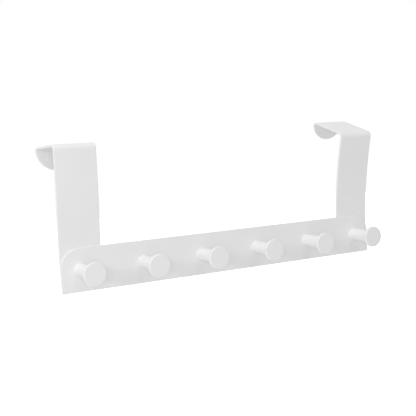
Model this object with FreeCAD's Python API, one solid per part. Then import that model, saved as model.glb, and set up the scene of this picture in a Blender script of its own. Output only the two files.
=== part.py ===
import FreeCAD
import Part
import math
import os

# Over door coat rack: a flat rail with six pegs, carried by two bent straps that drop over a door.
# The origin is the middle of the door's top front edge. X runs along the rack, +Y goes into the
# door from its front face, and +Z is up. Lengths are in millimetres and angles in degrees.

# Rail
rack_width = 350.0
rail_height = 40.0
rail_thickness = 2.0
rail_corner_radius = 18.0
drop = 130.0                  # door's top edge down to the rail's lower edge

# Straps
strap_width = 40.0
strap_thickness = 2.0
strap_end_inset = 0.0         # rail's end to the strap's outer edge
foot_margin = 1.0             # rail's lower edge to the lowest point of the strap's round foot
lean_start = 0.5              # rail's top edge up to where a strap starts to lean
hook_length = 69.4            # top plate and tongue together, along their outsides
hook_bend_radius = 3.0        # inside radius of the two sharp bends
lean_bend_radius = 60.0       # inside radius of the slight bend near the rail's top

# How each strap is bent: clear gap from the strap to its tongue, forward lean above the rail, what
# its bow adds to that on the way up, the rise of its top plate towards the back, and how far its
# tongue swings out at the bottom
left_door_gap = 43.7
left_lean = 2.7
left_bow = -3.5
left_plate_rise = -3.9
left_tongue_swing = -0.5
right_door_gap = 45.7
right_lean = 3.6
right_bow = 9.6
right_plate_rise = 15.7
right_tongue_swing = 13.4

# Pegs
peg_count = 6
peg_end_margin = 19.0         # rail's end to the first peg's axis
peg_height = 20.0             # rail's lower edge to the pegs' axes
peg_projection = 32.0         # rail's front face to the front of a peg's head
stem_diameter = 12.3
head_diameter = 21.2
head_thickness = 2.8
head_front_bevel = 0.8
head_back_bevel = 0.4
spigot_diameter = 6.0
spigot_clearance = 0.05       # on the radius, in the riveted hole
rivet_diameter = 8.4          # widest part of the spigot's flared tail
rivet_depth = 1.0

# Derived planes and places
rail_back_y = -strap_thickness
rail_front_y = rail_back_y - rail_thickness
rail_bottom_z = -drop
foot_bottom_z = rail_bottom_z + foot_margin
peg_z = rail_bottom_z + peg_height
peg_pitch = (rack_width - 2 * peg_end_margin) / (peg_count - 1)
peg_xs = [-rack_width / 2 + peg_end_margin + i * peg_pitch for i in range(peg_count)]
strap_x = rack_width / 2 - strap_end_inset - strap_width / 2


def unit(angle):
    """Direction in the YZ plane, at an angle from straight up towards the door's back."""
    a = math.radians(angle)
    return FreeCAD.Vector(0, math.sin(a), math.cos(a))


def rivet_hole(x, plate_back_y):
    """Clearance cylinder for a spigot, with the countersink that its tail is flared into."""
    radius = spigot_diameter / 2 + spigot_clearance
    axis = FreeCAD.Vector(0, 1, 0)
    start = FreeCAD.Vector(x, rail_front_y, peg_z)
    hole = Part.makeCylinder(radius, plate_back_y - rail_front_y, start, axis)
    sink_start = FreeCAD.Vector(x, plate_back_y - rivet_depth, peg_z)
    sink = Part.makeCone(radius, rivet_diameter / 2 + spigot_clearance, rivet_depth, sink_start, axis)
    return hole.fuse(sink)


def peg_back_y(x):
    """Back face of what the peg at x is riveted through: the strap's foot, or the rail alone."""
    behind_strap = abs(abs(x) - strap_x) < strap_width / 2
    return 0.0 if behind_strap else rail_back_y


def make_rail():
    """Flat plate with its two upper corners rounded and its lower corners square."""
    left, right = -rack_width / 2, rack_width / 2
    top = rail_bottom_z + rail_height
    r = rail_corner_radius
    cut = r * (1 - math.sqrt(0.5))

    def at(x, z):
        return FreeCAD.Vector(x, rail_front_y, z)

    outline = [
        Part.LineSegment(at(left, rail_bottom_z), at(right, rail_bottom_z)),
        Part.LineSegment(at(right, rail_bottom_z), at(right, top - r)),
        Part.Arc(at(right, top - r), at(right - cut, top - cut), at(right - r, top)),
        Part.LineSegment(at(right - r, top), at(left + r, top)),
        Part.Arc(at(left + r, top), at(left + cut, top - cut), at(left, top - r)),
        Part.LineSegment(at(left, top - r), at(left, rail_bottom_z)),
    ]
    face = Part.Face(Part.Wire([piece.toShape() for piece in outline]))
    rail = face.extrude(FreeCAD.Vector(0, rail_thickness, 0))
    for x in peg_xs:
        rail = rail.cut(rivet_hole(x, peg_back_y(x)))
    return rail


def bow_length(start, lean, bow, plate_rise):
    """Length of the bowed stretch that brings the top plate's underside through the origin."""
    end_lean = lean + bow
    turn = 90 + end_lean - plate_rise
    # a bowed stretch of length one moves along its chord, whose direction is the mean lean
    half = math.radians(bow) / 2
    chord = unit(-(lean + bow / 2)) * (math.sin(half) / half if half else 1.0)
    corner = start + unit(-end_lean) * (hook_bend_radius * math.tan(math.radians(turn / 2)))
    slope = math.tan(math.radians(plate_rise))
    return (corner.y * slope - corner.z) / (chord.z - chord.y * slope)


class StripPath:
    """Side view of a bent strip, traced on its door side from the foot to the tongue."""

    def __init__(self, point, thickness):
        self.point = point
        self.heading = 0.0
        self.thickness = thickness
        self.door_side = []
        self.room_side = []
        self.start = (point, self.room_point())

    def room_point(self):
        """Point across the sheet from the present one."""
        return self.point - unit(self.heading + 90) * self.thickness

    def straight(self, length):
        """Adds a flat stretch."""
        door, room = self.point, self.room_point()
        self.point = door + unit(self.heading) * length
        self.door_side.append(Part.LineSegment(door, self.point).toShape())
        self.room_side.append(Part.LineSegment(room, self.room_point()).toShape())

    def bend(self, inside_radius, angle):
        """Adds a bend, towards the door for a positive angle and away from it for a negative one."""
        towards_door = angle > 0
        radius = inside_radius if towards_door else -(inside_radius + self.thickness)
        centre = self.point + unit(self.heading + 90) * radius

        def on_bend(share, reach):
            return centre - unit(self.heading + 90 + angle * share) * reach

        room_radius = radius + self.thickness
        door = [on_bend(share, radius) for share in (0, 0.5, 1)]
        room = [on_bend(share, room_radius) for share in (0, 0.5, 1)]
        self.door_side.append(Part.Arc(*door).toShape())
        self.room_side.append(Part.Arc(*room).toShape())
        self.point = door[-1]
        self.heading += angle

    def solid(self, width):
        """Closes the side view and gives it its width, centred on X = 0."""
        foot = Part.LineSegment(self.start[1], self.start[0]).toShape()
        tip = Part.LineSegment(self.point, self.room_point()).toShape()
        wire = Part.Wire([foot] + self.door_side + [tip] + self.room_side[::-1])
        face = Part.Face(wire)
        face.translate(FreeCAD.Vector(-width / 2, 0, 0))
        return face.extrude(FreeCAD.Vector(width, 0, 0))


def end_trim(tip, heading, width, thickness):
    """What is cut off a strip's end to make it a half round of the strip's full width."""
    radius = width / 2
    reach = 2 * thickness
    corner = FreeCAD.Vector(-width, -reach, 0)
    block = Part.makeBox(2 * width, 2 * reach, 2 * radius, corner)
    disc = Part.makeCylinder(radius, 2 * reach, FreeCAD.Vector(0, -reach, 0), FreeCAD.Vector(0, 1, 0))
    trim = block.cut(disc)
    trim.rotate(FreeCAD.Vector(0, 0, 0), FreeCAD.Vector(1, 0, 0), -heading)
    trim.translate(tip - unit(heading) * radius)
    return trim


def make_strap(x, door_gap, lean, bow, plate_rise, tongue_swing):
    """Strap with a round foot on the rail's back, a hook over the door and a round tongue."""
    tongue_length = hook_length - door_gap - 2 * strap_thickness
    foot_tip = FreeCAD.Vector(0, 0, foot_bottom_z)
    path = StripPath(foot_tip, strap_thickness)
    path.straight(rail_height - foot_margin + lean_start)
    path.bend(lean_bend_radius, -lean)
    length = bow_length(path.point, lean, bow, plate_rise)
    if bow:
        bow_radius = abs(length / math.radians(bow))
        path.bend(bow_radius - (strap_thickness if bow > 0 else 0), -bow)
    else:
        path.straight(length)
    first_turn = 90 + lean + bow - plate_rise
    second_turn = 90 + plate_rise - tongue_swing
    first_setback = hook_bend_radius * math.tan(math.radians(first_turn / 2))
    second_setback = hook_bend_radius * math.tan(math.radians(second_turn / 2))
    path.bend(hook_bend_radius, first_turn)
    path.straight(door_gap - first_setback - second_setback)
    path.bend(hook_bend_radius, second_turn)
    path.straight(tongue_length - strap_thickness - second_setback)
    strap = path.solid(strap_width)
    strap = strap.cut(end_trim(foot_tip, 180.0, strap_width, strap_thickness))
    strap = strap.cut(end_trim(path.point, path.heading, strap_width, strap_thickness))
    strap.translate(FreeCAD.Vector(x, 0, 0))
    for peg_x in peg_xs:
        if peg_back_y(peg_x) == 0.0 and peg_x * x > 0:
            strap = strap.cut(rivet_hole(peg_x, 0.0))
    return strap


def make_peg(x):
    """Turned peg: disc head, plain stem, and a spigot whose tail is flared flush in its hole."""
    back_y = peg_back_y(x)
    head_front_y = rail_front_y - peg_projection
    head_back_y = head_front_y + head_thickness
    stem_r, head_r = stem_diameter / 2, head_diameter / 2
    spigot_r, rivet_r = spigot_diameter / 2, rivet_diameter / 2
    profile = [
        (0, head_front_y), (head_r - head_front_bevel, head_front_y),
        (head_r, head_front_y + head_front_bevel), (head_r, head_back_y - head_back_bevel),
        (head_r - head_back_bevel, head_back_y), (stem_r, head_back_y),
        (stem_r, rail_front_y), (spigot_r, rail_front_y), (spigot_r, back_y - rivet_depth),
        (rivet_r, back_y), (0, back_y), (0, head_front_y),
    ]
    wire = Part.makePolygon([FreeCAD.Vector(x + r, y, peg_z) for r, y in profile])
    axis_point = FreeCAD.Vector(x, 0, peg_z)
    return Part.Face(wire).revolve(axis_point, FreeCAD.Vector(0, 1, 0), 360)


def save(shape, name):
    """Writes one solid to its own STEP file."""
    solid = shape.Solids[0]
    print(name, "solids", len(shape.Solids), "valid", solid.isValid(), "volume", round(solid.Volume, 1))
    solid.exportStep("parts/" + name + ".step")


os.makedirs("parts", exist_ok=True)
save(make_rail(), "rail")
left_bends = (left_door_gap, left_lean, left_bow, left_plate_rise, left_tongue_swing)
right_bends = (right_door_gap, right_lean, right_bow, right_plate_rise, right_tongue_swing)
save(make_strap(-strap_x, *left_bends), "left_strap")
save(make_strap(strap_x, *right_bends), "right_strap")
for number, peg_x in enumerate(peg_xs, start=1):
    save(make_peg(peg_x), "peg_" + str(number))
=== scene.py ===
import math
import bmesh
import bpy
import numpy as np
from mathutils import Matrix, Vector


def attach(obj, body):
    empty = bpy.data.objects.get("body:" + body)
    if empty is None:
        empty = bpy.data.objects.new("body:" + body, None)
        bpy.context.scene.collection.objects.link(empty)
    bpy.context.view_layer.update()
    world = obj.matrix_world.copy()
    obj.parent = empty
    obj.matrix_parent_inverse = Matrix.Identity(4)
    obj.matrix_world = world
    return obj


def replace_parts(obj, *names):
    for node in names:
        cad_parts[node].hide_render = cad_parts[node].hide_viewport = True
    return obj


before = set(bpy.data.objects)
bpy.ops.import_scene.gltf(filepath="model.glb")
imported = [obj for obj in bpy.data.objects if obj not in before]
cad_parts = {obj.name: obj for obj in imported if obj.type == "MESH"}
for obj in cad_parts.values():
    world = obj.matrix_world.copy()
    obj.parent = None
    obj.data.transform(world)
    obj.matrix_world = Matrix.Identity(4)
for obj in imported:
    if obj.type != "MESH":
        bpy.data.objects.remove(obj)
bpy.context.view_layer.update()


# The camera stands off the rack's left end and a little above its rail, and looks slightly down.
# Its place, turn and lens were worked out from the rail's edges and the six round peg heads.

camera_place = Vector((-0.4340, -0.7053, 0.0136))
camera_yaw, camera_pitch, camera_roll = (math.radians(a) for a in (30.37, -5.62, -2.49))
focal_pixels, image_pixels, sensor_mm = 850.7, 416, 36.0

ahead = Vector((math.sin(camera_yaw) * math.cos(camera_pitch),
                math.cos(camera_yaw) * math.cos(camera_pitch), math.sin(camera_pitch)))
level = Vector((math.cos(camera_yaw), -math.sin(camera_yaw), 0))
upright = level.cross(ahead)
right = math.cos(camera_roll) * level + math.sin(camera_roll) * upright
up = -math.sin(camera_roll) * level + math.cos(camera_roll) * upright
camera_turn = Matrix((right, up, -ahead)).transposed()

lens = bpy.data.cameras.new("photo_camera")
lens.sensor_width = sensor_mm
lens.lens = sensor_mm * focal_pixels / image_pixels
camera = bpy.data.objects.new("photo_camera", lens)
bpy.context.scene.collection.objects.link(camera)
camera.matrix_world = Matrix.Translation(camera_place) @ camera_turn.to_4x4()
bpy.context.scene.camera = camera


# The rail is a flat bar of 2 mm steel with rounded upper corners and square lower ones. It is
# punched out, deburred, and carries the pegs. Everything is powder coated after assembly.

rail_width, rail_height, rail_thickness = 0.350, 0.040, 0.002
rail_corner, rail_lower_corner = 0.018, 0.0006
rail_bottom, rail_front = -0.130, -0.004
edge_round = 0.00055
side_points, turn_points, corner_points, half_points = 3, 7, 15, 12
corner_share = 160    # angle down to which the upper corner's arc is set against the lower corner


def line_run(start, end, count):
    """Points evenly along a straight edge, and its normal: its direction turned to the right."""
    share = np.linspace(0, 1, count)[:, None]
    start, end = np.array(start, float), np.array(end, float)
    step = (end - start) / np.linalg.norm(end - start)
    normal = np.tile([step[1], -step[0]], (count, 1))
    return start + share * (end - start), normal


def arc_run(centre, radius, first, last, count):
    """Points evenly along a round corner between two angles in degrees, with outward normals."""
    angle = np.radians(np.linspace(first, last, count))
    normal = np.stack([np.cos(angle), np.sin(angle)], 1)
    return np.array(centre) + radius * normal, normal


def join_runs(*runs):
    """Puts runs of an outline end to end, leaving out the first point of each but the first."""
    points = [runs[0][0]] + [run[0][1:] for run in runs[1:]]
    normals = [runs[0][1]] + [run[1][1:] for run in runs[1:]]
    return np.concatenate(points), np.concatenate(normals)


def outward(run, centre):
    """Turns an outline's normals so that they all point away from a point inside it."""
    points, normals = run
    inward = ((points - centre) * normals).sum(1) < 0
    return points, np.where(inward[:, None], -normals, normals)


def mirrored_run(run):
    """Carries an outline on past its last point, as its own mirror image in u."""
    points, normals = run
    mirror = np.array([-1, 1])
    return (np.concatenate([points, points[-2::-1] * mirror]),
            np.concatenate([normals, normals[-2::-1] * mirror]))


def sheet_skin(side_a, side_b, thickness, rounding):
    """Closed skin of a flat sheet, as a grid of stations along it by points round its section.

    Each station runs from a point of outline a to the matching point of outline b. Round the
    section, the rim at a goes from the front face to the back one: an angle t from 90 to -90
    degrees gives an inset of rounding * (1 - cos t), and a height of rounding * sin t plus or
    minus half of the thickness that is left. The back face follows, then b's rim the other way,
    then the front face. Returns the grid of (u, v, height).
    """
    rim_steps, face_shares = 6, (0.02, 0.5, 0.98)
    bend = np.radians(np.concatenate([np.linspace(90, 0, rim_steps),
                                      np.linspace(0, -90, rim_steps)]))
    inset = rounding * (1 - np.cos(bend))
    middle = thickness / 2 - rounding
    height = rounding * np.sin(bend) + np.repeat([middle, -middle], rim_steps)

    def rim(points, normals):
        """Points inset from the outline along its normals, with each one's height."""
        place = points[:, None, :] - normals[:, None, :] * inset[None, :, None]
        heights = np.broadcast_to(height[None, :, None], place.shape[:2] + (1,))
        return np.concatenate([place, heights], 2)

    rim_a, rim_b = rim(*side_a), rim(*side_b)[:, ::-1]
    share = np.array(face_shares)[None, :, None]
    back = rim_a[:, -1:] * (1 - share) + rim_b[:, :1] * share
    front = rim_b[:, -1:] * (1 - share) + rim_a[:, :1] * share
    return np.concatenate([rim_a, back, rim_b, front], 1)


def grid_piece(name, grid, material):
    """Makes a mesh object of a grid that closes on itself round its second direction.

    Point (i, j) joins (i + 1, j) and (i, j + 1), and the last j joins the first. Points that
    fall together at the two ends are merged, which closes them.
    """
    merge_distance = 1e-7
    stations, around = grid.shape[:2]
    i, j = np.meshgrid(np.arange(stations - 1), np.arange(around), indexing="ij")
    after = (j + 1) % around
    row, next_row = i * around, (i + 1) * around
    quads = np.stack([row + j, row + after, next_row + after, next_row + j], -1)
    mesh = bpy.data.meshes.new(name)
    mesh.from_pydata(grid.reshape(-1, 3), [], quads.reshape(-1, 4).tolist())
    skin = bmesh.new()
    skin.from_mesh(mesh)
    bmesh.ops.remove_doubles(skin, verts=skin.verts, dist=merge_distance)
    bmesh.ops.recalc_face_normals(skin, faces=skin.faces)
    skin.to_mesh(mesh)
    skin.free()
    mesh.polygons.foreach_set("use_smooth", np.ones(len(mesh.polygons), bool))
    mesh.materials.append(material)
    piece = bpy.data.objects.new(name, mesh)
    bpy.context.scene.collection.objects.link(piece)
    return piece


def linear(hex_colour):
    """Turns an sRGB hex colour into linear red, green, blue and alpha."""
    levels = np.array([int(hex_colour[i:i + 2], 16) for i in (1, 3, 5)]) / 255
    return (*np.where(levels <= 0.04045, levels / 12.92, ((levels + 0.055) / 1.055) ** 2.4), 1.0)


def add_node(tree, kind, settings=(), values=(), links=()):
    """Adds one node: settings are its own choices, values its sockets, links what feeds them."""
    node = tree.nodes.new(kind)
    for name, value in dict(settings).items():
        setattr(node, name, value)
    for name, value in dict(values).items():
        node.inputs[name].default_value = value
    for name, source in dict(links).items():
        tree.links.new(source, node.inputs[name])
    return node


# Polyester powder coat, sprayed on as dry powder and baked: satin white, with the faint orange peel
# of powder that melts and flows. Finer grain lies over its waves, and the film's thickness varies
# slowly over the piece, which gives slight differences of shade and sheen.
peel_wave, peel_depth = 0.0016, 0.00002
grain_size, grain_depth = 0.00035, 0.000006
film_patch, film_low, film_high = 0.045, 0.3, 0.7
thin_shade, thick_shade = "#EBEBEB", "#EEEEEE"

coat = bpy.data.materials.new("satin_powder_coat")
coat.use_nodes = True
tree = coat.node_tree
tree.nodes.clear()
place = add_node(tree, "ShaderNodeTexCoord").outputs["Object"]
peel = add_node(tree, "ShaderNodeTexNoise", {},
                {"Scale": 1 / peel_wave, "Detail": 1.0, "Roughness": 0.4}, {"Vector": place})
grain = add_node(tree, "ShaderNodeTexNoise", {},
                 {"Scale": 1 / grain_size, "Detail": 2.0}, {"Vector": place})
film = add_node(tree, "ShaderNodeTexNoise", {},
                {"Scale": 1 / film_patch, "Detail": 2.0}, {"Vector": place})
peel_bump = add_node(tree, "ShaderNodeBump", {}, {"Strength": 0.35, "Distance": peel_depth},
                     {"Height": peel.outputs["Fac"]})
grain_bump = add_node(tree, "ShaderNodeBump", {}, {"Strength": 0.25, "Distance": grain_depth},
                      {"Height": grain.outputs["Fac"], "Normal": peel_bump.outputs["Normal"]})
tint = add_node(tree, "ShaderNodeValToRGB", {}, {}, {"Fac": film.outputs["Fac"]})
for stop, position, shade in zip(tint.color_ramp.elements, (film_low, film_high),
                                 (thin_shade, thick_shade)):
    stop.position, stop.color = position, linear(shade)
sheen = add_node(tree, "ShaderNodeMapRange", {},
                 {"From Min": film_low, "From Max": film_high, "To Min": 0.40, "To Max": 0.46},
                 {"Value": film.outputs["Fac"]})
paint = add_node(tree, "ShaderNodeBsdfPrincipled", {}, {"IOR": 1.5, "Metallic": 0.0},
                 {"Base Color": tint.outputs["Color"], "Roughness": sheen.outputs["Result"],
                  "Normal": grain_bump.outputs["Normal"]})
add_node(tree, "ShaderNodeOutputMaterial", {}, {}, {"Surface": paint.outputs["BSDF"]})

half = rail_width / 2
rail_top, rail_middle = rail_bottom + rail_height, rail_bottom + rail_height / 2
upper_centre = (-half + rail_corner, rail_top - rail_corner)
lower_centre = (-half + rail_lower_corner, rail_bottom + rail_lower_corner)
upper_left = join_runs(
    line_run((-half, rail_middle), (-half, upper_centre[1]), side_points),
    arc_run(upper_centre, rail_corner, 180, corner_share, turn_points),
    arc_run(upper_centre, rail_corner, corner_share, 90, corner_points),
    line_run((upper_centre[0], rail_top), (0, rail_top), half_points))
lower_left = join_runs(
    line_run((-half, rail_middle), (-half, lower_centre[1]), side_points),
    arc_run(lower_centre, rail_lower_corner, 180, 270, turn_points),
    line_run((lower_centre[0], rail_bottom), (upper_centre[0], rail_bottom), corner_points),
    line_run((upper_centre[0], rail_bottom), (0, rail_bottom), half_points))

rail_centre = np.array([0, rail_middle])
rail_grid = sheet_skin(mirrored_run(outward(upper_left, rail_centre)),
                       mirrored_run(outward(lower_left, rail_centre)), rail_thickness, edge_round)
rail_grid = np.stack([rail_grid[..., 0], rail_front + rail_thickness / 2 - rail_grid[..., 2],
                      rail_grid[..., 1]], -1)
rail = grid_piece("rail_plate", rail_grid, coat)
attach(rail, "root")
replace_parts(rail, "rail")


# The two straps are bar of the same width and thickness, cut with half-round ends and bent on a
# press into hooks. Their feet lie flat behind the rail, and each is bent a little differently.

strap_width, strap_thickness = 0.040, 0.002
foot_bottom, lean_start = -0.129, 0.0395
lean_radius, hook_radius, hook_length = 0.060, 0.003, 0.0694
strap_centre = rail_width / 2 - strap_width / 2
cap_points, stretch_steps = 25, (12, 4, 20, 10, 12, 10, 4)
bend_margin, cap_margin = 0.0004, 0.0002


def heading_vector(angle):
    """Direction in the YZ plane at an angle in radians from straight up towards the back."""
    return np.stack([np.sin(angle), np.cos(angle)], -1)


def bow_length(start, lean, bow, plate_rise):
    """Length of the bowed stretch that brings the top plate's underside through the origin.

    The stretch of length L ends at start + L * chord, where chord is the bow's mean direction
    times sin(bow / 2) / (bow / 2). The plate's line starts at the corner of the next bend, and L
    is chosen so that this line, which rises by tan(plate_rise), meets the origin.
    """
    end_lean = lean + bow
    turn = math.pi / 2 + end_lean - plate_rise
    chord = heading_vector(-(lean + bow / 2)) * math.sin(bow / 2) / (bow / 2)
    corner = start + heading_vector(-end_lean) * hook_radius * math.tan(turn / 2)
    slope = math.tan(plate_rise)
    return (corner[0] * slope - corner[1]) / (chord[1] - chord[0] * slope)


def bent_line(lengths, turns, along):
    """Point and heading on the strap's door side, at distances along it from the foot's tip.

    The line is straights and arcs end to end. On a stretch with length n and turn a, the heading
    grows evenly by a, so its curvature is k = a / n, and the point moves by
    ((cos h0 - cos h) / k, (sin h - sin h0) / k), or straight ahead where k is 0.
    """
    point = np.zeros((len(along), 2)) + [0, foot_bottom]
    heading = np.zeros(len(along))
    start_heading, start = 0.0, 0.0
    for length, turn in zip(lengths, turns):
        part = np.clip(along - start, 0, length)
        curvature = turn / length
        now = start_heading + curvature * part
        if turn:
            backwards = np.cos(start_heading) - np.cos(now)
            upwards = np.sin(now) - np.sin(start_heading)
            point += np.stack([backwards, upwards], -1) / curvature
        else:
            point += heading_vector(start_heading) * part[:, None]
        heading += curvature * part
        start_heading += turn
        start += length
    return point, heading


def make_strap(name, x, door_gap, lean, bow, plate_rise, tongue_swing):
    """Skins the flat blank, then bends it: u goes to X, v along the bent line, height outwards.

    The angles are in degrees: how far the strap leans forward, how much more it bows, how far
    the top plate rises to the back, and how far the tongue swings out from the door.
    """
    lean, bow, plate_rise, tongue_swing = np.radians([lean, bow, plate_rise, tongue_swing])
    lean_arc = lean * (lean_radius + strap_thickness)
    before_bow, _ = bent_line([lean_start, lean_arc], [0, -lean],
                              np.array([lean_start + lean_arc]))
    length = bow_length(before_bow[0], lean, bow, plate_rise)
    first_turn = math.pi / 2 + lean + bow - plate_rise
    second_turn = math.pi / 2 + plate_rise - tongue_swing
    first_setback = hook_radius * math.tan(first_turn / 2)
    second_setback = hook_radius * math.tan(second_turn / 2)
    lengths = [lean_start, lean_arc, length, first_turn * hook_radius,
               door_gap - first_setback - second_setback, second_turn * hook_radius,
               hook_length - door_gap - 3 * strap_thickness - second_setback]
    turns = [0, -lean, -bow, first_turn, 0, second_turn, 0]
    whole = sum(lengths)
    knots = np.cumsum([0] + lengths)

    radius = strap_width / 2
    cap = np.radians(np.linspace(0, 90, cap_points))
    foot_v, foot_u = radius * (1 - np.cos(cap)), radius * np.sin(cap)
    steps = [np.linspace(a, b, n, endpoint=False)
             for a, b, n in zip(knots[:-1], knots[1:], stretch_steps)]
    bends = knots[1:-1]
    v_between = np.concatenate(steps + [bends + bend_margin, bends - bend_margin])
    v_between = np.unique(np.round(v_between, 7))
    v_between = v_between[(v_between > radius + cap_margin)
                          & (v_between < whole - radius - cap_margin)]
    v = np.concatenate([foot_v, v_between, whole - foot_v[::-1]])
    u = np.concatenate([foot_u, np.full(len(v_between), radius), foot_u[::-1]])
    normal_u = np.concatenate([np.sin(cap), np.ones(len(v_between)), np.sin(cap[::-1])])
    normal_v = np.concatenate([-np.cos(cap), np.zeros(len(v_between)), np.cos(cap[::-1])])
    side = np.stack([u, v], 1), np.stack([normal_u, normal_v], 1)
    mirror = np.array([-1, 1])
    blank = sheet_skin(side, (side[0] * mirror, side[1] * mirror), strap_thickness, edge_round)

    point, heading = bent_line(lengths, turns, blank[..., 1].ravel())
    outwards = np.stack([-np.cos(heading), np.sin(heading)], -1)
    yz = point + outwards * (blank[..., 2].ravel() + strap_thickness / 2)[:, None]
    grid = np.concatenate([x + blank[..., :1].reshape(-1, 1), yz], 1).reshape(blank.shape)
    strap = grid_piece(name, grid, coat)
    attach(strap, "root")
    return strap


left_strap = make_strap("left_hook_strap", -strap_centre, door_gap=0.0437, lean=2.7, bow=-3.5,
                        plate_rise=-3.9, tongue_swing=-0.5)
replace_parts(left_strap, "left_strap")
right_strap = make_strap("right_hook_strap", strap_centre, door_gap=0.0457, lean=3.6, bow=9.6,
                         plate_rise=15.7, tongue_swing=13.4)
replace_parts(right_strap, "right_strap")


# Six pegs, each turned from one piece of steel: a disc head, a plain stem, and a spigot that goes
# through the rail, or through rail and strap at the ends, and is riveted over at the back.

peg_count, peg_margin, peg_height, peg_projection = 6, 0.019, 0.020, 0.032
stem_radius, head_radius, head_thickness = 0.00615, 0.0106, 0.0028
head_front_round, head_back_round, neck_round = 0.0008, 0.0004, 0.0005
neck_length, seat_depth = 0.002, 0.0002
spigot_radius, tail_radius, tail_height = 0.003, 0.0042, 0.00012
countersink_depth, tail_rim = 0.0006, 0.0001
face_rings, turn_steps = (0.5, 0.88), 96
peg_z = rail_bottom + peg_height
peg_places = np.linspace(-rail_width / 2 + peg_margin, rail_width / 2 - peg_margin, peg_count)


def quarter(centre, radius, first, last):
    """Rounded corner of a turned profile, in radius and depth, between two angles in degrees."""
    angle = np.radians(np.linspace(first, last, 7))
    return np.stack([centre[0] + radius * np.cos(angle), centre[1] + radius * np.sin(angle)], 1)


def make_peg(name, x, tail_y):
    """Turns the profile (r, y) about the peg's axis: x + r cos a, y, z + r sin a.

    The riveted tail is a low dome: at a share s of its radius it stands height * (1 - s ** 4)
    proud of the face behind it.
    """
    head_front = rail_front - peg_projection
    head_back = head_front + head_thickness
    tail_run = np.linspace(1, 0, 8)
    profile = np.concatenate([
        [(0, head_front)] + [(head_radius * ring, head_front) for ring in face_rings],
        quarter((head_radius - head_front_round, head_front + head_front_round),
                head_front_round, -90, 0),
        quarter((head_radius - head_back_round, head_back - head_back_round),
                head_back_round, 0, 90),
        quarter((stem_radius + neck_round, head_back + neck_round), neck_round, 270, 180),
        [(stem_radius, head_back + neck_length), (stem_radius, (head_back + rail_front) / 2),
         (stem_radius, rail_front - neck_length)],
        quarter((stem_radius + neck_round, rail_front - neck_round), neck_round, 180, 90),
        [(stem_radius, rail_front + seat_depth), (spigot_radius, rail_front + seat_depth),
         (spigot_radius, tail_y - countersink_depth), (tail_radius, tail_y - tail_rim)],
        np.stack([tail_radius * tail_run, tail_y + tail_height * (1 - tail_run ** 4)], 1),
    ])
    turn = np.linspace(0, 2 * math.pi, turn_steps, endpoint=False)
    radius, depth = profile[:, :1], np.broadcast_to(profile[:, 1:], (len(profile), turn_steps))
    grid = np.stack([x + radius * np.cos(turn), depth, peg_z + radius * np.sin(turn)], -1)
    peg = grid_piece(name, grid, coat)
    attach(peg, "root")
    return peg


for number, peg_x in enumerate(peg_places, start=1):
    behind_strap = abs(abs(peg_x) - strap_centre) < strap_width / 2
    tail_y = 0.0 if behind_strap else -strap_thickness
    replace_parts(make_peg(f"turned_peg_{number}", peg_x, tail_y), f"peg_{number}")


# The studio: a pale floor well below the hanging rack, small softboxes on the left and overhead,
# which throw the pegs' shadows, a wide one high on the left, a weak one at the camera, and white
# surroundings.

floor_height, floor_size, fill_strength = -0.75, 12.0, 0.58
floor_mesh = bpy.data.meshes.new("floor")
corner = floor_size / 2
floor_mesh.from_pydata([(-corner, -corner, floor_height), (corner, -corner, floor_height),
                        (corner, corner, floor_height), (-corner, corner, floor_height)],
                       [], [(0, 1, 2, 3)])
floor = bpy.data.objects.new("floor", floor_mesh)
bpy.context.scene.collection.objects.link(floor)


def direct_view(tree):
    """One for rays from the camera or sent on by gloss or glass, and zero for the rest."""
    path = add_node(tree, "ShaderNodeLightPath")
    camera_or_gloss = add_node(tree, "ShaderNodeMath", {"operation": "MAXIMUM"}, {},
                               {0: path.outputs["Is Camera Ray"],
                                1: path.outputs["Is Glossy Ray"]})
    any_view = add_node(tree, "ShaderNodeMath", {"operation": "MAXIMUM"}, {},
                        {0: camera_or_gloss.outputs["Value"],
                         1: path.outputs["Is Transmission Ray"]})
    return any_view.outputs["Value"]


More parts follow.
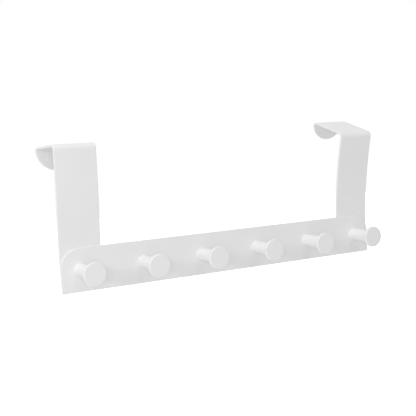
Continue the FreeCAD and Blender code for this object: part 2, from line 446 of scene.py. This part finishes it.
# Matt white paper, which shows at full white and gives its own soft bounce to the rack.
paper = bpy.data.materials.new("white_backdrop_paper")
paper.use_nodes = True
tree = paper.node_tree
tree.nodes.clear()
matt = add_node(tree, "ShaderNodeBsdfDiffuse", {}, {"Color": linear("#F0F0F0")})
glow = add_node(tree, "ShaderNodeEmission", {}, {"Color": linear("#FFFFFF")},
                {"Strength": direct_view(tree)})
both = add_node(tree, "ShaderNodeAddShader", {}, {},
                {0: matt.outputs["BSDF"], 1: glow.outputs["Emission"]})
add_node(tree, "ShaderNodeOutputMaterial", {}, {}, {"Surface": both.outputs["Shader"]})
paper.cycles.emission_sampling = "NONE"    # its glow is only seen and lights nothing
floor_mesh.materials.append(paper)

# White surroundings: an even fill on the rack, and full white where they are seen.
world = bpy.data.worlds.new("white_studio")
bpy.context.scene.world = world
world.use_nodes = True
tree = world.node_tree
tree.nodes.clear()
fill = add_node(tree, "ShaderNodeBackground", {},
                {"Color": linear("#FFFFFF"), "Strength": fill_strength})
white = add_node(tree, "ShaderNodeBackground", {}, {"Color": linear("#FFFFFF"), "Strength": 1.0})
mixed = add_node(tree, "ShaderNodeMixShader", {}, {},
                 {"Fac": direct_view(tree), 1: fill.outputs["Background"],
                  2: white.outputs["Background"]})
add_node(tree, "ShaderNodeOutputWorld", {}, {}, {"Surface": mixed.outputs["Shader"]})


def softbox(name, place, aim, size, power):
    """Adds a square area lamp at a place, turned to shine at a point: size in m, power in W."""
    lamp = bpy.data.lights.new(name, "AREA")
    lamp.shape, lamp.size, lamp.energy = "SQUARE", size, power
    holder = bpy.data.objects.new(name, lamp)
    bpy.context.scene.collection.objects.link(holder)
    holder.location = place
    holder.rotation_euler = (Vector(aim) - Vector(place)).to_track_quat("-Z", "Y").to_euler()


rack_centre = (0, 0, -0.07)
softbox("side_softbox", (-1.90, -1.05, 0.42), rack_centre, size=0.25, power=6.7)
softbox("overhead_softbox", (0.0, -0.5, 2.0), rack_centre, size=0.5, power=7.0)
softbox("high_left_softbox", (-1.2, -0.25, 0.9), rack_centre, size=0.8, power=3.8)
softbox("camera_softbox", (-0.52, -0.85, 0.06), rack_centre, size=0.3, power=1.25)

bpy.context.scene.view_settings.view_transform = "Standard"
